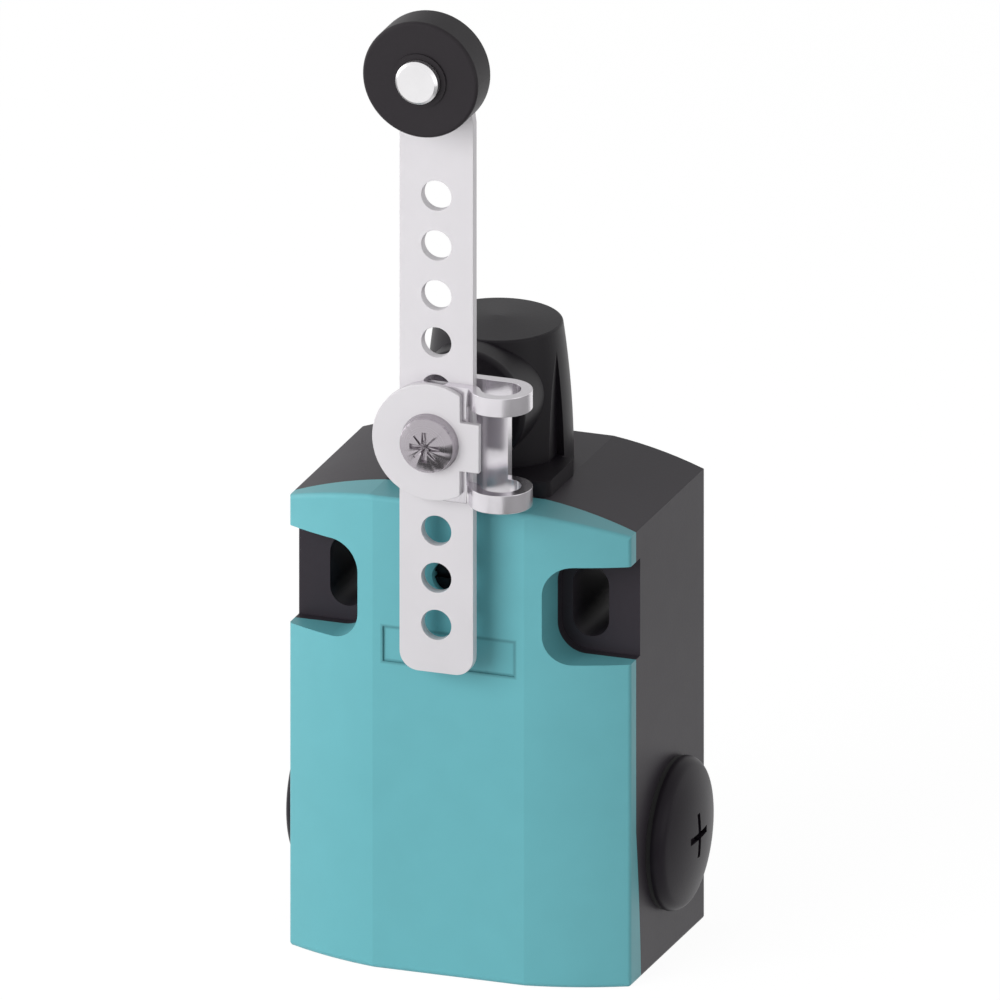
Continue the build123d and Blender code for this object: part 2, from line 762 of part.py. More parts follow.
# Fork that slides into the spigot's groove under the top wall and holds the head
with BuildPart() as head_lock_fork:
    with BuildSketch(level(fork_top - fork_thickness)):
        with Locations((0, fork_tail / 2 - head_axis_depth)):
            Rectangle(fork_width, spigot + fork_tail)
        with Locations((0, -head_axis_depth)):
            Circle(spigot / 2 - fork_groove + seat_fit, mode=Mode.SUBTRACT)
        with Locations((0, -head_axis_depth - spigot / 2)):
            Rectangle(spigot - 2 * fork_groove + 2 * seat_fit, spigot, mode=Mode.SUBTRACT)
    extrude(amount=fork_thickness)
save(head_lock_fork.part, "head_lock_fork")

# Bush and seal that carry the shaft in the boss
with BuildPart() as shaft_bush:
    with BuildSketch(front(bush_rear_depth)):
        with Locations((0, shaft_height)):
            Circle(bush_outer / 2)
            Circle(shaft / 2 + running_fit, mode=Mode.SUBTRACT)
    extrude(amount=bush_front_depth - bush_rear_depth)
save(shaft_bush.part, "shaft_bush")

with BuildPart() as shaft_seal:
    with BuildSketch(front(bush_front_depth)):
        with Locations((0, shaft_height)):
            Circle(bush_outer / 2 + seal_lip)
            Circle(shaft / 2 + running_fit, mode=Mode.SUBTRACT)
    extrude(amount=seal_thickness)
save(shaft_seal.part, "shaft_seal")

# Shaft: a rear journal, the main diameter with a clip groove, and a square end for the bracket
clip_rear_depth = bush_rear_depth - free_gap - clip_thickness
with BuildPart() as lever_shaft:
    with BuildSketch(front(shaft_rear_depth)):
        with Locations((0, shaft_height)):
            Circle(shaft_journal / 2)
    extrude(amount=shaft_step_depth - shaft_rear_depth)
    with BuildSketch(front(shaft_step_depth)):
        with Locations((0, shaft_height)):
            Circle(shaft / 2)
    extrude(amount=bracket_back_depth - shaft_step_depth)
    with BuildSketch(front(bracket_back_depth)):
        with Locations((0, shaft_height)):
            Rectangle(shaft_square, shaft_square)
    extrude(amount=bar_back_depth - bracket_back_depth)
    with BuildSketch(front(clip_rear_depth)):
        with Locations((0, shaft_height)):
            Circle(shaft / 2 + 1)
            Circle(shaft / 2 - clip_groove, mode=Mode.SUBTRACT)
    extrude(amount=clip_thickness, mode=Mode.SUBTRACT)
    with BuildSketch(front(bar_back_depth)):
        with Locations((0, shaft_height)):
            Circle(clamp_screw_shank / 2 + thread_fit)
    extrude(amount=-clamp_screw_length, mode=Mode.SUBTRACT)
save(lever_shaft.part, "lever_shaft")

with BuildPart() as shaft_clip:
    with BuildSketch(front(clip_rear_depth)):
        with Locations((0, shaft_height)):
            Circle(bush_outer / 2 - clip_gap)
            Circle(shaft / 2 - clip_groove, mode=Mode.SUBTRACT)
        with Locations((0, shaft_height + bush_outer / 2)):
            Rectangle(shaft - 4 * clip_groove, bush_outer, mode=Mode.SUBTRACT)
    extrude(amount=clip_thickness)
save(shaft_clip.part, "shaft_clip")

# Cam: a collar on the shaft with a flat below, which rests over the tappet
with BuildPart() as shaft_cam:
    with BuildSketch(front(head_axis_depth - cam_length / 2)):
        with Locations((0, shaft_height)):
            Circle(cam / 2)
        with Locations((0, shaft_height - shaft / 2 - cam_wall - cam / 2)):
            Rectangle(2 * cam, cam, mode=Mode.SUBTRACT)
        with Locations((0, shaft_height)):
            Circle(shaft / 2, mode=Mode.SUBTRACT)
    extrude(amount=cam_length)
save(shaft_cam.part, "shaft_cam")

# Tappet: a round head under the cam on a stem that reaches the contact plunger
with BuildPart() as head_tappet:
    with BuildSketch(level(tappet_top - tappet_head_height)):
        with Locations((0, -head_axis_depth)):
            Circle(tappet_head / 2)
    extrude(amount=tappet_head_height)
    with BuildSketch(level(plunger_top + free_gap)):
        with Locations((0, -head_axis_depth)):
            Circle(tappet / 2)
    extrude(amount=tappet_top - plunger_top - free_gap - tappet_head_height / 2)
save(head_tappet.part, "head_tappet")

tappet_spring_foot = spigot_foot + spigot_floor
tappet_spring_length = tappet_top - tappet_head_height - tappet_spring_foot
save(coil_spring(tappet_spring_foot, tappet_spring_length, tappet_spring - spring_wire,
                 tappet_spring_turns), "tappet_spring")

# Bracket: one strip of sheet, flat behind the bar, bent round in a loop beside it and back
# over its front as a tongue with a round end. A window in the loop leaves an ear above and below.
rear_line = bracket_back_depth + bracket_sheet / 2
tongue_line = bar_front_depth + bracket_sheet / 2
loop_line = rear_line + bracket_loop_radius
neck_drop = bracket_neck_radius + tongue_line - loop_line
neck_angle = degrees(acos(neck_drop / (bracket_loop_radius + bracket_neck_radius)))
with BuildPart() as clamp_bracket:
    with BuildSketch(level(bracket_foot)):
        with BuildLine():
            rear_leg = Line((-bracket_left, -rear_line), (bracket_loop_x, -rear_line))
            loop = JernArc(rear_leg @ 1, rear_leg % 1, bracket_loop_radius, -180 - neck_angle)
            neck = JernArc(loop @ 1, loop % 1, bracket_neck_radius, neck_angle)
            Line(neck @ 1, (-bracket_tongue, -tongue_line))
            offset(amount=bracket_sheet / 2, side=Side.BOTH, kind=Kind.ARC)
        make_face()
    extrude(amount=bracket_height)
    window_foot = bracket_foot + (bracket_height - window_height) / 2
    cut_front = -bracket_back_depth - bracket_sheet - 3 * bracket_loop_radius
    with BuildSketch(level(window_foot)):
        with BuildLine():
            Polyline((neck.end_point().X, -bracket_back_depth - bracket_sheet),
                     (bracket_loop_x, -bracket_back_depth - bracket_sheet),
                     (bracket_loop_x, 0), (3 * bracket_loop_x, 0),
                     (3 * bracket_loop_x, cut_front), (neck.end_point().X, cut_front),
                     close=True)
        make_face()
    extrude(amount=window_height, mode=Mode.SUBTRACT)
    with BuildSketch(front(bracket_back_depth)):
        with Locations((0, shaft_height)):
            Rectangle(shaft_square + 2 * seat_fit, shaft_square + 2 * seat_fit)
    extrude(amount=bracket_sheet, mode=Mode.SUBTRACT)
    with BuildSketch(front(bar_front_depth)):
        with Locations((-bracket_height / 2, bracket_middle)):
            Rectangle(bracket_height, bracket_height + 2 * bracket_sheet)
        with Locations((0, bracket_middle)):
            Circle(bracket_height / 2, mode=Mode.SUBTRACT)
        with Locations((0, shaft_height)):
            Circle(clamp_screw_shank / 2 + seat_fit)
    extrude(amount=bracket_sheet, mode=Mode.SUBTRACT)
save(clamp_bracket.part, "clamp_bracket")

# Washer that fills the gap between the rear leg and the bar, round the shaft's square
with BuildPart() as spacer_washer:
    with BuildSketch(front(bracket_back_depth + bracket_sheet)):
        with Locations((0, shaft_height)):
            Circle(shaft_square / 2 + washer_rim)
            Rectangle(shaft_square + 2 * seat_fit, shaft_square + 2 * seat_fit, mode=Mode.SUBTRACT)
    extrude(amount=washer_thickness)
save(spacer_washer.part, "spacer_washer")

# Lever bar: a flat strip with a row of holes, rounded at its foot and tapered to the roller pin
with BuildPart() as lever_bar:
    with BuildSketch(front(bar_back_depth)) as bar_outline:
        with Locations((0, (bar_foot + bar_taper_height) / 2)):
            Rectangle(bar_width, bar_taper_height - bar_foot)
        fillet(bar_outline.vertices().group_by(Axis.Y)[0], bar_foot_round)
        with Locations((0, roller_height)):
            Circle(bar_tip_radius)
        make_hull()
        with Locations(*[(0, height) for height in hole_heights]):
            Circle(clamp_screw_shank / 2 + bar_hole_play, mode=Mode.SUBTRACT)
        with Locations((0, roller_height)):
            Circle(pin_shank / 2 + thread_fit, mode=Mode.SUBTRACT)
    extrude(amount=bar_sheet)
save(lever_bar.part, "lever_bar")

# Clamp disc: a round plate cut straight beside the bracket, with a tab into its window
with BuildPart() as clamp_disc:
    with BuildSketch(front(tongue_front_depth)):
        with Locations((0, shaft_height)):
            Circle(disc_radius)
        with Locations((disc_flat_x + disc_radius, shaft_height)):
            Rectangle(2 * disc_radius, 4 * disc_radius, mode=Mode.SUBTRACT)
        with Locations((tab_reach / 2, shaft_height - tab_drop)):
            Rectangle(tab_reach, tab_height)
        with Locations((0, shaft_height)):
            Circle(clamp_screw_shank / 2 + seat_fit, mode=Mode.SUBTRACT)
    extrude(amount=disc_sheet)
save(clamp_disc.part, "clamp_disc")

# Clamp screw: a domed head with a cross recess and finer cuts between its arms
with BuildPart() as clamp_screw:
    with BuildSketch(upright(0)):
        with BuildLine():
            head_edge = disc_front_depth + clamp_screw_head_height - clamp_screw_dome
            rim_height = shaft_height + clamp_screw_head / 2
            Polyline((disc_front_depth, shaft_height), (disc_front_depth, rim_height),
                     (head_edge, rim_height - clamp_screw_edge))
            dome_middle = (head_edge + clamp_screw_dome * clamp_screw_fullness,
                           shaft_height + clamp_screw_head / 5)
            dome_front = (head_edge + clamp_screw_dome, shaft_height)
            ThreePointArc((head_edge, rim_height - clamp_screw_edge), dome_middle, dome_front)
            Line(dome_front, (disc_front_depth, shaft_height))
        make_face()
    revolve(axis=shaft_axis)
    with BuildSketch(front(disc_front_depth - clamp_screw_length)):
        with Locations((0, shaft_height)):
            Circle(clamp_screw_shank / 2)
    extrude(amount=clamp_screw_length)
    screw_face = disc_front_depth + clamp_screw_head_height
    with BuildSketch(front(screw_face - cross_sink)):
        with Locations((0, shaft_height)):
            Rectangle(cross_arm, cross_width)
            Rectangle(cross_width, cross_arm)
    extrude(amount=clamp_screw_head_height, mode=Mode.SUBTRACT)
    with BuildSketch(front(screw_face - cross_fine_sink)):
        with Locations((0, shaft_height)):
            Rectangle(cross_arm, cross_fine_width, rotation=45)
            Rectangle(cross_fine_width, cross_arm, rotation=45)
    extrude(amount=clamp_screw_head_height, mode=Mode.SUBTRACT)
save(clamp_screw.part, "clamp_screw")

# Roller: a disc with rounded edges and a low ring raised round its pin
with BuildPart() as lever_roller:
    with BuildSketch(front(roller_back_depth)):
        with Locations((0, roller_height)):
            Circle(roller / 2)
    extrude(amount=roller_thickness)
    fillet(lever_roller.edges(), roller_edge_round)
    with BuildSketch(front(roller_front_depth)):
        with Locations((0, roller_height)):
            Circle(roller_ring / 2)
    extrude(amount=roller_ring_rise)
    with BuildSketch(front(roller_back_depth)):
        with Locations((0, roller_height)):
            Circle(pin_shank / 2 + running_fit)
    extrude(amount=2 * roller_thickness, mode=Mode.SUBTRACT)
save(lever_roller.part, "lever_roller")

# Roller pin: a shank riveted behind the bar, with a chamfered head before the roller
pin_head_back = roller_front_depth + roller_ring_rise + running_fit
with BuildPart() as roller_pin:
    with BuildSketch(front(pin_head_back)):
        with Locations((0, roller_height)):
            Circle(pin_shank / 2 + pin_head_rim)
    extrude(amount=pin_head_height)
    chamfer(roller_pin.edges().sort_by(Axis.Y)[0], pin_chamfer)
    with BuildSketch(front(bar_back_depth)):
        with Locations((0, roller_height)):
            Circle(pin_shank / 2)
    extrude(amount=pin_head_back - bar_back_depth)
    with BuildSketch(front(bar_back_depth)):
        with Locations((0, roller_height)):
            Circle(pin_shank / 2 + pin_rivet_rim)
    extrude(amount=-pin_rivet_height)
save(roller_pin.part, "roller_pin")

# Washer on the pin between the bar and the roller
with BuildPart() as roller_washer:
    with BuildSketch(front(bar_front_depth)):
        with Locations((0, roller_height)):
            Circle(pin_shank / 2 + roller_washer_rim)
            Circle(pin_shank / 2 + thread_fit, mode=Mode.SUBTRACT)
    extrude(amount=roller_washer_thickness)
save(roller_washer.part, "roller_washer")
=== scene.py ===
import json
import math

import bpy
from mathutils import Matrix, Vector

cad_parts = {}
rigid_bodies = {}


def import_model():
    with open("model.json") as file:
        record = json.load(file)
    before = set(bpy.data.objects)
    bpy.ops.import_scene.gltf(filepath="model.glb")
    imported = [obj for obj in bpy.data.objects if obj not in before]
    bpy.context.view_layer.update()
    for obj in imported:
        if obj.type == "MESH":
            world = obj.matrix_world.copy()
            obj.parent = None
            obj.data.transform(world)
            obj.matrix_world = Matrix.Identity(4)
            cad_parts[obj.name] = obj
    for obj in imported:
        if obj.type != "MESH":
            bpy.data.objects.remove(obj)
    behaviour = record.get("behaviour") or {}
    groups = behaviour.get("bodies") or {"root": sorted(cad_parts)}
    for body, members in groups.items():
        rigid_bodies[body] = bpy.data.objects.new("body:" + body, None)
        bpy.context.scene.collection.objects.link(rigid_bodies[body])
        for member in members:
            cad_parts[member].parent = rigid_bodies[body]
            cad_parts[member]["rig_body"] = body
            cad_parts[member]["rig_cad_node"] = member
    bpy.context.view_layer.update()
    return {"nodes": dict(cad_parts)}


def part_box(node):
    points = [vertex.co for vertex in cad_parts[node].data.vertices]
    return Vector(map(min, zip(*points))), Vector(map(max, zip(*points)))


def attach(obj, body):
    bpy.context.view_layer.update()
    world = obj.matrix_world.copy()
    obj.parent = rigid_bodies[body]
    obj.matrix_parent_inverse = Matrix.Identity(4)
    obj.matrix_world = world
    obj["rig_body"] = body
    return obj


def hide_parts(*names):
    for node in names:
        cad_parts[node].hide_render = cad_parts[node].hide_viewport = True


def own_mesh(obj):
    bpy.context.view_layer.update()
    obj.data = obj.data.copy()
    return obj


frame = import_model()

bl_info = {
    "name": "Position switch",
    "version": (1, 0, 0),
    "blender": (4, 5, 0),
    "location": "View3D > Sidebar > Switch",
    "description": "Finishes a position switch with a roller lever and sets it on a pale stage",
    "category": "Object",
}

MM = 0.001

# Places worked out from the frame
FOOT_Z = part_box("housing")[0].z
SHAFT_Z = sum(corner.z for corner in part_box("lever_shaft")) / 2
ROLLER_Z = sum(corner.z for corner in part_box("lever_roller")) / 2
ALONG_Y = 1

# An entry plug: its own axis, then its places along X from the middle of the switch, and its
# reaches outwards from the axis. The left plug's crown is fuller, as the photograph shows its edge
PLUG_LOW, PLUG_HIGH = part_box("right_entry_plug")
ENTRY_Y = (PLUG_LOW.y + PLUG_HIGH.y) / 2
ENTRY_Z = (PLUG_LOW.z + PLUG_HIGH.z) / 2
PLUG_FOOT = PLUG_LOW.x
PLUG_SEAT = 25.7 * MM
PLUG_SLOT_FLOOR = 28.1 * MM
PLUG_TOP = PLUG_HIGH.x
PLUG_BORE = 8.1 * MM
PLUG_SHANK = 9.9 * MM
PLUG_REACH = (PLUG_HIGH.y - PLUG_LOW.y) / 2
PLUG_SLOT_WIDTH = 1.0 * MM
PLUG_SLOT_LENGTH = 6.4 * MM
RIGHT_CROWN = 1.876 * MM
LEFT_CROWN = 1.3 * MM

# How finely a plug is turned: round its axis, over its rim and over its dome
PLUG_STEPS = 96
RIM_STEPS = 8
DOME_STEPS = 16

# Copies of CAD nodes: how near loose corners are merged, how flat faces are joined into one, which
# edges are rounded and in how many steps, and up to which angle a surface is shaded as smooth
MERGE_WITHIN = 0.002 * MM
FLAT_WITHIN = math.radians(0.6)
SHARP_FROM = math.radians(32)
EDGE_STEPS = 2
SMOOTH_UP_TO = math.radians(40)

# The sunk name field on the cover
FIELD_WIDTH = 19.3 * MM
FIELD_HEIGHT = 5.1 * MM
FIELD_Z = FOOT_Z + 47.75 * MM
# How far the painted shade along the name field's edge reaches
SHADE_REACH = 0.4 * MM

# Moulded plastic: size and depth of its spark-eroded grain, and how far its tone drifts
GRAIN_SIZE = 0.35 * MM
GRAIN_DEPTH = 0.008 * MM
TONE_DRIFT = 0.04

# Steel: depths of a rolled sheet's streaks, of turned rings and of the waves left by drawing
STREAK_DEPTH = 0.004 * MM
RING_DEPTH = 0.004 * MM
WAVE_DEPTH = 0.02 * MM

# The photograph's view: from the right and from above by the same angle, with no perspective
VIEW_TURN = math.radians(20)
VIEW_RISE = math.radians(20)
VIEW_WIDTH = 137.74 * MM
VIEW_SHIFT = 4.59 * MM
VIEW_LIFT = 54.78 * MM
VIEW_DISTANCE = 0.6
LAMP_TARGET = Vector((0, -0.02, 0))

# Grey cards that only gloss mirrors: name, low corner, high corner, brightness
CARDS = (("near_card", (-0.07, -0.19, FOOT_Z + 0.001), (0.14, -0.075, FOOT_Z + 0.002), 0.12),
         ("right_card", (0.10, -0.26, FOOT_Z + 0.001), (0.42, 0.16, FOOT_Z + 0.002), 0.36),
         ("rear_card", (-0.27, 0.42, -0.05), (0.02, 0.421, 0.45), 0.66))

# How much of the floor's look is its own white glow, and how bright that is
FLOOR_SHARE = 0.88
FLOOR_GLOW = 1.08


def colour(name, description, default):
    """A colour that a user may change."""
    return bpy.props.FloatVectorProperty(name=name, description=description, default=default,
                                         subtype="COLOR", size=3, min=0.0, max=1.0)


def length(name, description, default):
    """A length that a user may change, in metres."""
    return bpy.props.FloatProperty(name=name, description=description, default=default,
                                   unit="LENGTH", min=0.0)


def strength(name, description, default):
    """A plain number that a user may change."""
    return bpy.props.FloatProperty(name=name, description=description, default=default, min=0.0)


class SwitchFinishSettings(bpy.types.PropertyGroup):
    """Colours of the switch's materials."""
    cover: colour("Cover", "Blue-green of the moulded cover", (0.130, 0.410, 0.455))
    housing: colour("Housing", "Dark grey of the moulded housing", (0.0295, 0.0250, 0.0315))
    head: colour("Head", "Black of the moulded head", (0.0055, 0.0040, 0.0064))
    plug: colour("Plugs", "Black of the entry plugs", (0.012, 0.009, 0.0135))
    roller: colour("Roller", "Black of the lever's roller", (0.024, 0.021, 0.024))
    rubber: colour("Rubber", "Black of the seals", (0.010, 0.010, 0.010))
    sheet: colour("Steel sheet", "Satin steel of the lever bar and the disc", (0.69, 0.67, 0.695))
    bright: colour("Bright steel", "Polished steel of the bracket", (0.73, 0.705, 0.74))
    screw: colour("Screw", "Polished steel of the clamp screw", (0.43, 0.40, 0.43))
    pin: colour("Pin", "Turned steel of the roller pin", (0.84, 0.83, 0.84))
    brass: colour("Brass", "Brass of the contacts and the bush", (0.60, 0.43, 0.17))
    blackened: colour("Blackened steel", "Dark steel of the cover screw", (0.020, 0.020, 0.022))
    block: colour("Contact block", "Cream moulding of the contact block", (0.58, 0.55, 0.46))
    plunger: colour("Plungers", "White moulding of the plunger and the tappet", (0.62, 0.62, 0.60))
    fork: colour("Fork", "Red moulding of the fork that locks the head", (0.42, 0.035, 0.025))


class SwitchEdgeSettings(bpy.types.PropertyGroup):
    """Widths of the small edge roundings."""
    sheet: length("Sheet", "Rounding of stamped sheet edges", 0.16 * MM)
    rim: length("Plug rim", "Rounding of the rims of the entry plugs", 1.2 * MM)
    turned: length("Turned", "Rounding of turned edges", 0.12 * MM)


class SwitchStageSettings(bpy.types.PropertyGroup):
    """Lamps and stage."""
    world: strength("World", "Strength of the white surroundings", 0.36)
    front: strength("Front lamp", "Power of the large lamp in front, on the left, in watts", 3.9)
    left: strength("Left lamp", "Power of the lamp that lifts the left side, in watts", 0.9)
    right: strength("Right lamp", "Power of the lamp that lifts the right side, in watts", 0.45)
    floor: colour("Floor", "Colour of the floor", (0.75, 0.75, 0.75))


class Field:
    """A shader value that can be used in arithmetic. Each operation adds a Math node."""

    def __init__(self, recipe, socket):
        self.recipe = recipe
        self.socket = socket

    def maths(self, operation, *values):
        return self.recipe.maths(operation, *values)

    def __add__(self, other):
        return self.maths("ADD", self, other)

    def __radd__(self, other):
        return self.maths("ADD", other, self)

    def __sub__(self, other):
        return self.maths("SUBTRACT", self, other)

    def __rsub__(self, other):
        return self.maths("SUBTRACT", other, self)

    def __mul__(self, other):
        return self.maths("MULTIPLY", self, other)

    def __rmul__(self, other):
        return self.maths("MULTIPLY", other, self)


class Recipe:
    """A material or a world, and the nodes that make its finish."""

    def __init__(self, name, shader="Principled BSDF", owners="materials"):
        self.owner = getattr(bpy.data, owners).new(name)
        self.owner.use_nodes = True
        self.nodes = self.owner.node_tree.nodes
        self.links = self.owner.node_tree.links
        self.shader = self.nodes[shader]
        self.place = self.node("ShaderNodeTexCoord", output="Object")

    def seen(self):
        """One for rays from the camera, a gloss or a clear piece, and zero for light."""
        camera, glossy, clear = (self.node("ShaderNodeLightPath", output=f"Is {kind} Ray")
                                 for kind in ("Camera", "Glossy", "Transmission"))
        return self.maths("MAXIMUM", self.maths("MAXIMUM", camera, glossy), clear)

    def maths(self, operation, *values):
        return self.node("ShaderNodeMath", {"operation": operation}, dict(enumerate(values)))

    def node(self, kind, settings=None, inputs=None, output=0):
        """Adds a node, sets it up, then sets or links its sockets, and gives one output."""
        made = self.nodes.new(kind)
        for name, value in (settings or {}).items():
            if name == "stops":
                self.set_stops(made.color_ramp.elements, value)
            else:
                setattr(made, name, value)
        for socket, value in (inputs or {}).items():
            self.fill(made.inputs[socket], value)
        return Field(self, made.outputs[output])

    def set_stops(self, elements, stops):
        """Gives a ramp its grey stops."""
        while len(elements) < len(stops):
            elements.new(0.5)
        for element, (position, level) in zip(elements, stops):
            element.position = position
            element.color = (level, level, level, 1)

    def fill(self, socket, value):
        """Links a field to a socket, or sets a plain value on it."""
        if isinstance(value, Field):
            self.links.new(value.socket, socket)
        elif socket.type == "RGBA":
            socket.default_value = (*value, 1)
        else:
            socket.default_value = value

    def surface(self, **values):
        """Sets or links the surface shader's own sockets."""
        for name, value in values.items():
            self.fill(self.shader.inputs[name.replace("_", " ")], value)

    def noise(self, size, detail=2.0, stretch=(1, 1, 1)):
        """Noise with features of this size, stretched along the axes."""
        scale = tuple(1 / (size * factor) for factor in stretch)
        spread = self.node("ShaderNodeMapping", {}, {"Vector": self.place, "Scale": scale})
        return self.node("ShaderNodeTexNoise", {},
                         {"Vector": spread, "Scale": 1.0, "Detail": detail})

    def axis(self, name):
        """One of the three Object coordinates."""
        return self.node("ShaderNodeSeparateXYZ", {}, {0: self.place}, name)

    def ramp(self, value, stops):
        return self.node("ShaderNodeValToRGB", {"stops": stops}, {"Fac": value})

    def mix(self, amount, first, second):
        """Mixes two colours."""
        return self.node("ShaderNodeMix", {"data_type": "RGBA"},
                         {0: amount, 6: first, 7: second}, 2)

    def bump(self, height, distance, strength=1.0):
        return self.node("ShaderNodeBump", {}, {"Height": height, "Distance": distance,
                                                "Strength": strength}, "Normal")


def shade(base, factor):
    """A colour made darker or lighter."""
    return tuple(min(1.0, channel * factor) for channel in base)


def painted_field_shade(recipe):
    """Painted shade along the edge of the sunk name field."""
    across = recipe.maths("ABSOLUTE", recipe.axis("X")) - FIELD_WIDTH / 2
    upward = recipe.maths("ABSOLUTE", recipe.axis("Z") - FIELD_Z) - FIELD_HEIGHT / 2
    away = recipe.maths("ABSOLUTE", recipe.maths("MAXIMUM", across, upward))
    return recipe.ramp(away * (1 / SHADE_REACH), [(0.3, 0.55), (1.0, 0.0)])


def moulded(name, base, roughness, gloss=0.3, painted_shade=None):
    """Moulded plastic: a fine spark-eroded grain, and a slow drift of tone and gloss."""
    recipe = Recipe(name)
    cloud = recipe.noise(5 * MM, 3.0)
    tone = recipe.mix(cloud, shade(base, 1 - TONE_DRIFT), shade(base, 1 + TONE_DRIFT))
    # Where painted shade is given, it darkens the tone along an edge
    if painted_shade:
        tone = recipe.mix(painted_shade(recipe), tone, shade(base, 0.45))
    skin = recipe.noise(GRAIN_SIZE, 3.0)
    recipe.surface(Base_Color=tone, Roughness=roughness - 0.04 + 0.04 * cloud + 0.04 * skin,
                   Normal=recipe.bump(skin, GRAIN_DEPTH), Specular_IOR_Level=gloss)
    return recipe.owner


def rubbery(name, base):
    """Rubber: dull, with a faint bloom."""
    recipe = Recipe(name)
    bloom = recipe.noise(2.5 * MM, 4.0)
    recipe.surface(Base_Color=recipe.mix(bloom, shade(base, 0.8), shade(base, 1.7)),
                   Roughness=0.62 + 0.2 * bloom,
                   Normal=recipe.bump(recipe.noise(0.15 * MM), 0.01 * MM))
    return recipe.owner


def rolled(name, base, roughness, metal=1.0, grain=(0.10, 1, 8)):
    """Rolled steel sheet: fine streaks along its length under a satin skin."""
    recipe = Recipe(name)
    streaks = recipe.noise(0.5 * MM, 4.0, grain)
    cloud = recipe.noise(6 * MM, 3.0)
    recipe.surface(Base_Color=recipe.mix(cloud, shade(base, 0.97), shade(base, 1.03)),
                   Metallic=metal, Roughness=roughness - 0.05 + 0.06 * streaks + 0.05 * cloud,
                   Normal=recipe.bump(streaks, STREAK_DEPTH))
    return recipe.owner


def turned(name, base, roughness, centre, axis, pitch=0.16 * MM, spokes=0.0):
    """Turned steel: fine rings round an axis, which is 0, 1 or 2, and spokes of a given depth."""
    recipe = Recipe(name)
    keep = tuple(0.0 if index == axis else 1.0 for index in range(3))
    offset = tuple(-place * flag for place, flag in zip(centre, keep))
    flat = recipe.node("ShaderNodeMapping", {}, {"Vector": recipe.place, "Location": offset,
                                                 "Scale": keep})
    reach = recipe.node("ShaderNodeVectorMath", {"operation": "LENGTH"}, {0: flat}, "Value")
    rings = recipe.node("ShaderNodeTexNoise", {"noise_dimensions": "1D"},
                        {"W": reach * (1 / pitch), "Scale": 1.0, "Detail": 2.0})
    cloud = recipe.noise(3 * MM, 2.0)
    height, depth = rings, RING_DEPTH
    if spokes:
        around = recipe.node("ShaderNodeVectorMath", {"operation": "NORMALIZE"}, {0: flat},
                             "Vector")
        rays = recipe.node("ShaderNodeTexNoise", {},
                           {"Vector": around, "Scale": 1.8, "Detail": 1.0})
        height, depth = rings * (RING_DEPTH / spokes) + rays, spokes
    recipe.surface(Base_Color=recipe.mix(cloud, shade(base, 0.95), shade(base, 1.05)), Metallic=1.0,
                   Roughness=roughness - 0.04 + 0.1 * rings,
                   Normal=recipe.bump(height, depth))
    return recipe.owner


def bright(name, base, roughness):
    """Bright steel or brass: polished, with upright drawing waves and small handling marks."""
    recipe = Recipe(name)
    wave = recipe.noise(3 * MM, 2.0)
    marks = recipe.noise(0.4 * MM, 4.0, (1, 1, 4))
    folds = recipe.noise(1.6 * MM, 1.0, (1, 1, 12))
    recipe.surface(Base_Color=recipe.mix(wave, shade(base, 0.94), shade(base, 1.06)), Metallic=1.0,
                   Roughness=roughness + 0.07 * marks,
                   Normal=recipe.bump(marks * 0.08 + folds, WAVE_DEPTH))
    return recipe.owner


def deselect():
    bpy.ops.object.select_all(action="DESELECT")


def pick(piece):
    """Selects a piece alone, for the operators that follow."""
    deselect()
    piece.select_set(True)
    bpy.context.view_layer.objects.active = piece


def give_finish(piece, material):
    piece.data.materials.clear()
    piece.data.materials.append(material)


def finish_nodes(material, *names):
    """Gives CAD nodes their finish."""
    for name in names:
        give_finish(frame["nodes"][name], material)


def merged_copy(name, piece_name):
    """A copy of a CAD node, with its loose triangles merged."""
    pick(frame["nodes"][name])
    bpy.ops.object.duplicate()
    piece = bpy.context.active_object
    piece.name = piece_name
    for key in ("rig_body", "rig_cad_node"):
        if key in piece:
            del piece[key]
    piece.parent = None
    piece.matrix_world.identity()
    if piece.data.has_custom_normals:
        bpy.ops.mesh.customdata_custom_splitnormals_clear()
    bpy.ops.object.mode_set(mode="EDIT")
    bpy.ops.mesh.select_all(action="SELECT")
    bpy.ops.mesh.remove_doubles(threshold=MERGE_WITHIN)
    bpy.ops.object.mode_set(mode="OBJECT")
    return piece


def stand_for(piece, name, material):
    """Finishes a copy, and puts it in its node's place."""
    bpy.ops.object.shade_smooth_by_angle(angle=SMOOTH_UP_TO)
    give_finish(piece, material)
    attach(piece, frame["nodes"][name]["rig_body"])
    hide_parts(name)


def rounded_copy(name, piece_name, material, width):
    """A copy of a node with its sharp edges rounded, which stands for the node."""
    piece = merged_copy(name, piece_name)
    bpy.ops.object.mode_set(mode="EDIT")
    bpy.ops.mesh.select_all(action="SELECT")
    bpy.ops.mesh.dissolve_limited(angle_limit=FLAT_WITHIN, delimit=set())
    bpy.ops.object.mode_set(mode="OBJECT")
    bevel = piece.modifiers.new("Edges", "BEVEL")
    bevel.limit_method = "ANGLE"
    bevel.angle_limit = SHARP_FROM
    bevel.width = width
    bevel.segments = EDGE_STEPS
    bpy.ops.object.modifier_apply(modifier=bevel.name)
    stand_for(piece, name, material)
    normals = piece.modifiers.new("Normals", "WEIGHTED_NORMAL")
    normals.weight = 100
    normals.keep_sharp = True
    bpy.ops.object.modifier_apply(modifier=normals.name)


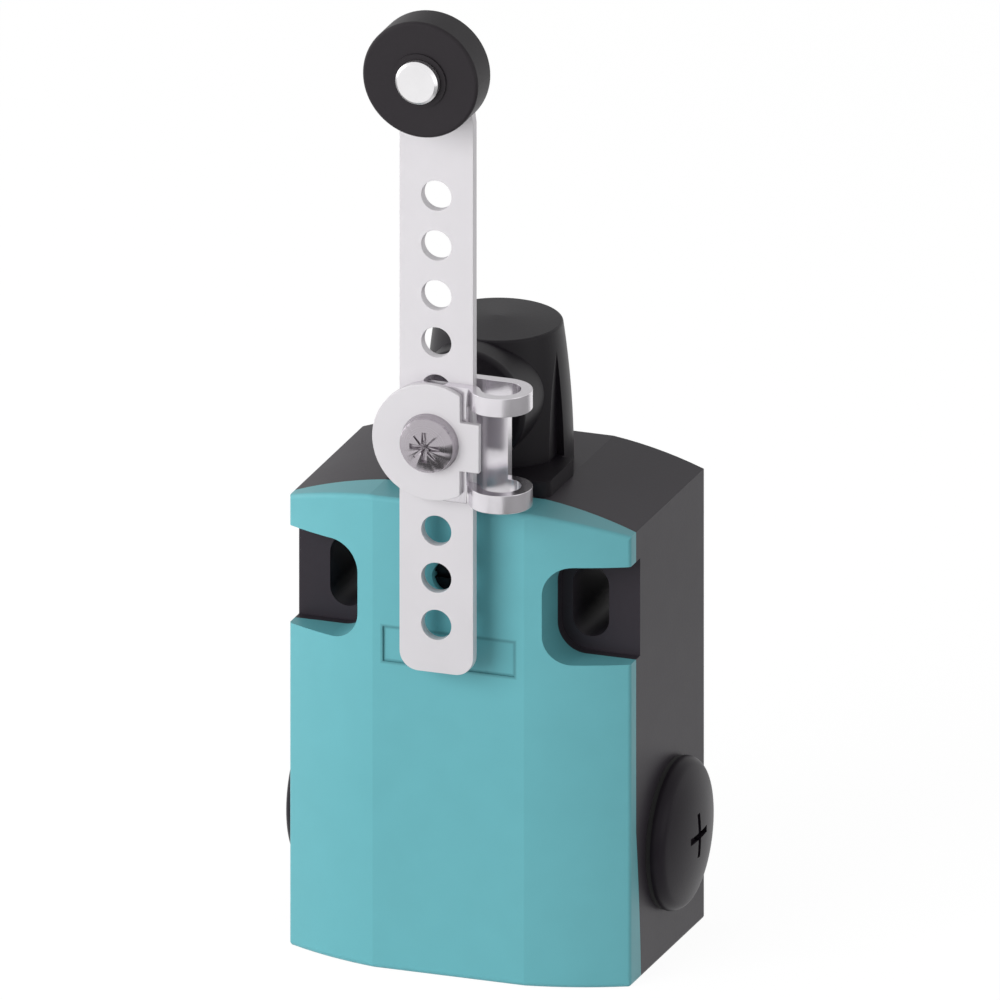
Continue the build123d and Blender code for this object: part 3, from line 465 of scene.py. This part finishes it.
def plug_outline(rim, crown):
    """Half the section of an entry plug, as pairs of place along X and reach from the axis."""
    globe = (PLUG_REACH ** 2 + crown ** 2) / (2 * crown)

    def dome(reach):
        return PLUG_TOP - globe + math.sqrt(globe ** 2 - reach ** 2)

    outline = [(PLUG_SEAT, 0.0), (PLUG_SEAT, PLUG_BORE), (PLUG_FOOT, PLUG_BORE),
               (PLUG_FOOT, PLUG_SHANK), (PLUG_SEAT, PLUG_SHANK), (PLUG_SEAT, PLUG_REACH)]
    for step in range(RIM_STEPS):
        turn = math.radians(90) * step / RIM_STEPS
        reach = PLUG_REACH - rim + rim * math.cos(turn)
        outline.append((dome(reach) - rim + rim * math.sin(turn), reach))
    for step in range(DOME_STEPS):
        reach = (PLUG_REACH - rim) * (1 - step / DOME_STEPS)
        outline.append((dome(reach), reach))
    return outline + [(PLUG_TOP, 0.0)]


def cut_slot(piece, middle, size):
    """Cuts a box out of a piece."""
    bpy.ops.mesh.primitive_cube_add(size=1.0, location=middle, scale=size)
    cutter = bpy.context.active_object
    pick(piece)
    slot = piece.modifiers.new("Slot", "BOOLEAN")
    slot.operation = "DIFFERENCE"
    slot.object = cutter
    bpy.ops.object.modifier_apply(modifier=slot.name)
    bpy.data.objects.remove(cutter)


def domed_plug(name, piece_name, material, side, rim, crown):
    """An entry plug: half its section drawn point by point, spun, then cut with a cross recess."""
    deselect()
    bpy.ops.mesh.primitive_plane_add(size=1 * MM)
    piece = bpy.context.active_object
    piece.name = piece_name
    points = [Vector((side * along, ENTRY_Y, ENTRY_Z + reach))
              for along, reach in plug_outline(rim, crown)]
    bpy.ops.object.mode_set(mode="EDIT")
    bpy.ops.mesh.merge(type="CENTER")
    bpy.ops.transform.translate(value=points[0])
    for last, point in zip(points, points[1:]):
        bpy.ops.mesh.extrude_region_move(TRANSFORM_OT_translate={"value": point - last})
    bpy.ops.mesh.select_all(action="SELECT")
    bpy.ops.mesh.spin(steps=PLUG_STEPS, angle=math.tau, center=(0, ENTRY_Y, ENTRY_Z),
                      axis=(1, 0, 0))
    bpy.ops.mesh.select_all(action="SELECT")
    bpy.ops.mesh.remove_doubles(threshold=MERGE_WITHIN)
    bpy.ops.mesh.normals_make_consistent(inside=False)
    bpy.ops.object.mode_set(mode="OBJECT")
    above = PLUG_TOP + 1 * MM
    middle = (side * (PLUG_SLOT_FLOOR + above) / 2, ENTRY_Y, ENTRY_Z)
    cut_slot(piece, middle, (above - PLUG_SLOT_FLOOR, PLUG_SLOT_WIDTH, PLUG_SLOT_LENGTH))
    cut_slot(piece, middle, (above - PLUG_SLOT_FLOOR, PLUG_SLOT_LENGTH, PLUG_SLOT_WIDTH))
    stand_for(piece, name, material)


def sprung_copy(name, piece_name, material):
    """A copy of a spring with its own mesh, which stands for the spring."""
    piece = merged_copy(name, piece_name)
    stand_for(piece, name, material)
    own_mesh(piece)


class SWITCH_OT_enclosure(bpy.types.Operator):
    """Finish the housing, the cover and what closes them"""
    bl_idname = "switch.enclosure"
    bl_label = "Enclosure"

    def execute(self, context):
        tones = context.scene.switch_finishes
        edges = context.scene.switch_edges
        finish_nodes(moulded("housing_plastic", tones.housing, roughness=0.44, gloss=0.22),
                     "housing")
        # The cover's tone is darkened by painted shade along the edge of its name field
        finish_nodes(moulded("cover_plastic", tones.cover, roughness=0.42, gloss=0.32,
                             painted_shade=painted_field_shade), "front_cover")
        plug = moulded("plug_plastic", tones.plug, roughness=0.40, gloss=0.13)
        domed_plug("right_entry_plug", "right_plug", plug, 1, edges.rim, RIGHT_CROWN)
        domed_plug("left_entry_plug", "left_plug", plug, -1, edges.rim, LEFT_CROWN)
        finish_nodes(rubbery("seal_rubber", tones.rubber),
                     "cover_gasket", "left_plug_seal", "right_plug_seal", "shaft_seal")
        finish_nodes(bright("blackened_steel", tones.blackened, roughness=0.38), "cover_screw")
        return {"FINISHED"}


class SWITCH_OT_contacts(bpy.types.Operator):
    """Finish the contact block and its moving bridge"""
    bl_idname = "switch.contacts"
    bl_label = "Contacts"

    def execute(self, context):
        tones = context.scene.switch_finishes
        finish_nodes(moulded("block_plastic", tones.block, roughness=0.5), "contact_block")
        finish_nodes(moulded("plunger_plastic", tones.plunger, roughness=0.45),
                     "contact_plunger", "head_tappet")
        finish_nodes(bright("contact_brass", tones.brass, roughness=0.28),
                     "upper_left_terminal", "upper_right_terminal", "lower_left_terminal",
                     "lower_right_terminal", "contact_bridge", "shaft_bush")
        finish_nodes(rolled("zinc_steel", shade(tones.sheet, 1.15), roughness=0.34,
                            grain=(1, 1, 1)),
                     "terminal_clamps", "terminal_screws", "spacer_washer", "roller_washer")
        wire = bright("spring_steel", tones.screw, roughness=0.3)
        finish_nodes(wire, "shaft_clip")
        sprung_copy("contact_spring", "contact_coil", wire)
        sprung_copy("tappet_spring", "tappet_coil", wire)
        return {"FINISHED"}


class SWITCH_OT_head(bpy.types.Operator):
    """Finish the rotary head, its shaft and its fork"""
    bl_idname = "switch.head"
    bl_label = "Head"

    def execute(self, context):
        tones = context.scene.switch_finishes
        finish_nodes(moulded("head_plastic", tones.head, roughness=0.42, gloss=0.22),
                     "head_housing")
        finish_nodes(moulded("fork_plastic", tones.fork, roughness=0.45), "head_lock_fork")
        finish_nodes(turned("turned_steel", tones.pin, 0.3, (0, 0, SHAFT_Z), ALONG_Y),
                     "lever_shaft", "shaft_cam")
        return {"FINISHED"}


class SWITCH_OT_lever(bpy.types.Operator):
    """Round the edges of the lever's sheet pieces and finish them"""
    bl_idname = "switch.lever"
    bl_label = "Lever"

    def execute(self, context):
        tones = context.scene.switch_finishes
        edges = context.scene.switch_edges
        sheet = rolled("lever_steel", tones.sheet, roughness=0.50, metal=0.30)
        rounded_copy("lever_bar", "perforated_bar", sheet, edges.sheet)
        rounded_copy("clamp_disc", "tabbed_disc", sheet, edges.sheet)
        polish = bright("bracket_steel", tones.bright, roughness=0.19)
        rounded_copy("clamp_bracket", "bent_bracket", polish, edges.sheet)
        screw = turned("screw_steel", tones.screw, 0.25, (0, 0, SHAFT_Z), ALONG_Y,
                       pitch=0.3 * MM, spokes=0.6 * MM)
        rounded_copy("clamp_screw", "cross_screw", screw, edges.turned)
        return {"FINISHED"}


class SWITCH_OT_roller(bpy.types.Operator):
    """Finish the roller and its pin"""
    bl_idname = "switch.roller"
    bl_label = "Roller"

    def execute(self, context):
        tones = context.scene.switch_finishes
        finish_nodes(moulded("roller_plastic", tones.roller, roughness=0.45, gloss=0.15),
                     "lever_roller")
        finish_nodes(turned("pin_steel", tones.pin, 0.34, (0, 0, ROLLER_Z), ALONG_Y),
                     "roller_pin")
        return {"FINISHED"}


class SWITCH_OT_stage(bpy.types.Operator):
    """Add the floor, the lamps, the white surroundings and the camera"""
    bl_idname = "switch.stage"
    bl_label = "Stage"

    def execute(self, context):
        setup = context.scene.switch_stage
        self.add_floor(setup)
        self.add_lamp("front_lamp", (-0.30, -0.62, 0.22), 0.50, setup.front, mirrored=False)
        self.add_lamp("left_lamp", (-0.62, -0.08, 0.16), 0.40, setup.left)
        self.add_lamp("right_lamp", (0.60, -0.16, 0.10), 0.40, setup.right)
        for name, low, high, level in CARDS:
            self.add_card(name, low, high, level)
        self.light_world(setup.world)
        self.add_camera()
        context.scene.view_settings.view_transform = "Standard"
        return {"FINISHED"}

    def add_floor(self, setup):
        bpy.ops.mesh.primitive_plane_add(size=6.0, location=(0, 0, FOOT_Z))
        floor = bpy.context.active_object
        floor.name = "floor"
        recipe = Recipe("floor_white")
        recipe.surface(Base_Color=tuple(setup.floor), Roughness=0.9, Specular_IOR_Level=0.1)
        glow = recipe.node("ShaderNodeEmission", {}, {"Color": (1, 1, 1), "Strength": FLOOR_GLOW},
                           "Emission")
        white = recipe.node("ShaderNodeMixShader", {}, {
            "Fac": FLOOR_SHARE * recipe.seen(), 1: Field(recipe, recipe.shader.outputs[0]),
            2: glow})
        recipe.fill(recipe.nodes["Material Output"].inputs["Surface"], white)
        floor.data.materials.append(recipe.owner)

    def add_lamp(self, name, place, size, power, mirrored=True):
        """A square lamp that faces the switch, and shows in gloss where it is mirrored."""
        bpy.ops.object.light_add(type="AREA", location=place)
        lamp = bpy.context.active_object
        lamp.name = name
        lamp.data.size = size
        lamp.data.energy = power
        lamp.visible_glossy = mirrored
        aim = LAMP_TARGET - Vector(place)
        lamp.rotation_mode = "QUATERNION"
        lamp.rotation_quaternion = aim.to_track_quat("-Z", "Y")

    def add_card(self, name, low, high, level):
        """A grey card between two corners, which shows only in gloss."""
        middle = [(first + last) / 2 for first, last in zip(low, high)]
        bpy.ops.mesh.primitive_cube_add(size=1.0, location=middle)
        card = bpy.context.active_object
        card.name = name
        card.scale = [last - first for first, last in zip(low, high)]
        bpy.ops.object.transform_apply(location=True, rotation=True, scale=True)
        for ray in ("camera", "diffuse", "transmission", "volume_scatter", "shadow"):
            setattr(card, f"visible_{ray}", False)
        recipe = Recipe(name)
        glow = recipe.node("ShaderNodeEmission", {}, {"Color": (1, 1, 1), "Strength": level},
                           "Emission")
        recipe.fill(recipe.nodes["Material Output"].inputs["Surface"], glow)
        card.data.materials.append(recipe.owner)

    def light_world(self, level):
        recipe = Recipe("white_surroundings", "Background", "worlds")
        recipe.surface(Color=(1, 1, 1), Strength=level)
        white = recipe.node("ShaderNodeBackground", {}, {"Color": (1, 1, 1), "Strength": 1.0},
                            "Background")
        mixed = recipe.node("ShaderNodeMixShader", {}, {
            "Fac": recipe.seen(), 1: Field(recipe, recipe.shader.outputs[0]), 2: white})
        recipe.fill(recipe.nodes["World Output"].inputs["Surface"], mixed)
        bpy.context.scene.world = recipe.owner

    def add_camera(self):
        """Looks along the photograph's line, with the housing's rear foot where it is there."""
        right = Vector((math.cos(VIEW_TURN), math.sin(VIEW_TURN), 0))
        back = Vector((math.sin(VIEW_TURN) * math.cos(VIEW_RISE),
                       -math.cos(VIEW_TURN) * math.cos(VIEW_RISE), math.sin(VIEW_RISE)))
        up = back.cross(right)
        centre = Vector((0, 0, FOOT_Z)) - right * VIEW_SHIFT + up * VIEW_LIFT
        bpy.ops.object.camera_add(location=centre + back * VIEW_DISTANCE)
        camera = bpy.context.active_object
        camera.rotation_mode = "QUATERNION"
        camera.rotation_quaternion = (-back).to_track_quat("-Z", "Y")
        camera.data.type = "ORTHO"
        camera.data.ortho_scale = VIEW_WIDTH
        camera.data.clip_start = 0.01
        camera.data.clip_end = 10.0
        bpy.context.scene.camera = camera


class SWITCH_PT_panel(bpy.types.Panel):
    """Lists the switch's steps in the sidebar"""
    bl_idname = "SWITCH_PT_panel"
    bl_label = "Position switch"
    bl_space_type = "VIEW_3D"
    bl_region_type = "UI"
    bl_category = "Switch"

    def draw(self, context):
        for step in STEPS:
            self.layout.operator(step.bl_idname)


STEPS = (SWITCH_OT_enclosure, SWITCH_OT_contacts, SWITCH_OT_head, SWITCH_OT_lever,
         SWITCH_OT_roller, SWITCH_OT_stage)
GROUPS = {
    "switch_finishes": SwitchFinishSettings,
    "switch_edges": SwitchEdgeSettings,
    "switch_stage": SwitchStageSettings,
}


def register():
    for group in GROUPS.values():
        bpy.utils.register_class(group)
    for name, group in GROUPS.items():
        setattr(bpy.types.Scene, name, bpy.props.PointerProperty(type=group))
    for item in (*STEPS, SWITCH_PT_panel):
        bpy.utils.register_class(item)


def unregister():
    for item in (SWITCH_PT_panel, *reversed(STEPS)):
        bpy.utils.unregister_class(item)
    for name in GROUPS:
        delattr(bpy.types.Scene, name)
    for group in GROUPS.values():
        bpy.utils.unregister_class(group)


def main():
    register()
    bpy.ops.switch.stage()
    bpy.ops.switch.enclosure()
    bpy.ops.switch.contacts()
    bpy.ops.switch.head()
    bpy.ops.switch.lever()
    bpy.ops.switch.roller()


if __name__ == "__main__":
    main()
